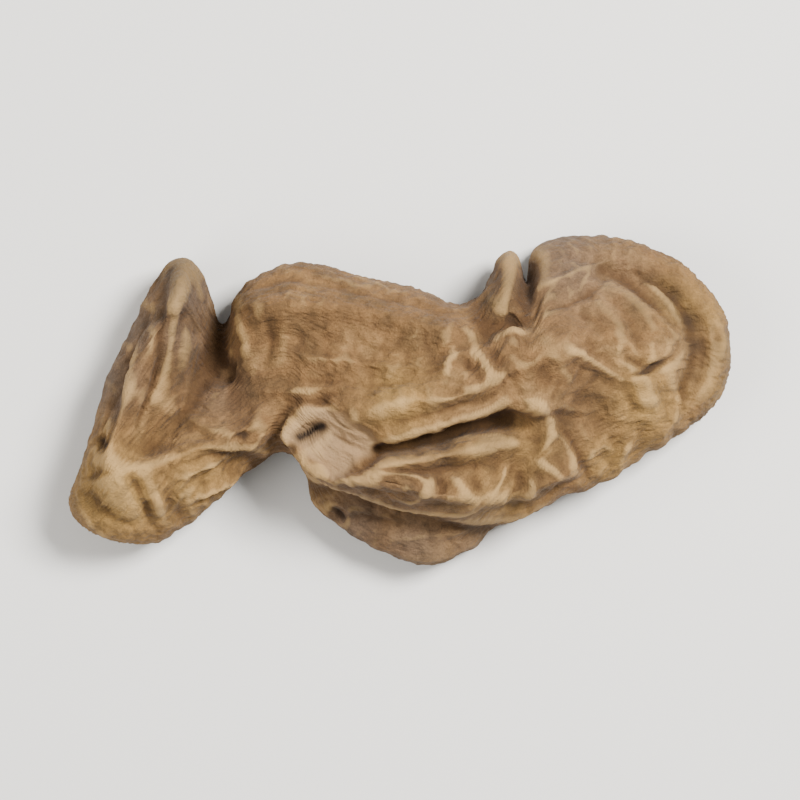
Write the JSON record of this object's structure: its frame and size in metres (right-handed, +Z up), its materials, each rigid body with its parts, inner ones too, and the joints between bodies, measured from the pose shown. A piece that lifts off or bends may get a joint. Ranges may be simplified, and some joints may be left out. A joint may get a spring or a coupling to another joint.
{
  "type": "dried wood ear mushroom",
  "caption": "Dried wood ear mushroom: a thin, curled and creased sheet, downy grey-brown outside and near-black inside, lying hollow side down on its rolled rim.",
  "frame": {"origin": "middle of the piece's footprint, on the surface it rests on", "axes": "+Z up through the crown, +X along the length from the narrow heel to the broad lobe, +Y to the side with the notch and the small tongue"},
  "size_m": [0.045, 0.0226, 0.0122],
  "materials": {
    "dried_fungus": "dull and downy on the outer side, near-black with a soft sheen on the inner side"
  },
  "bodies": {
    "root": {"wood_ear": "dried_fungus"}
  },
  "joints": []
}
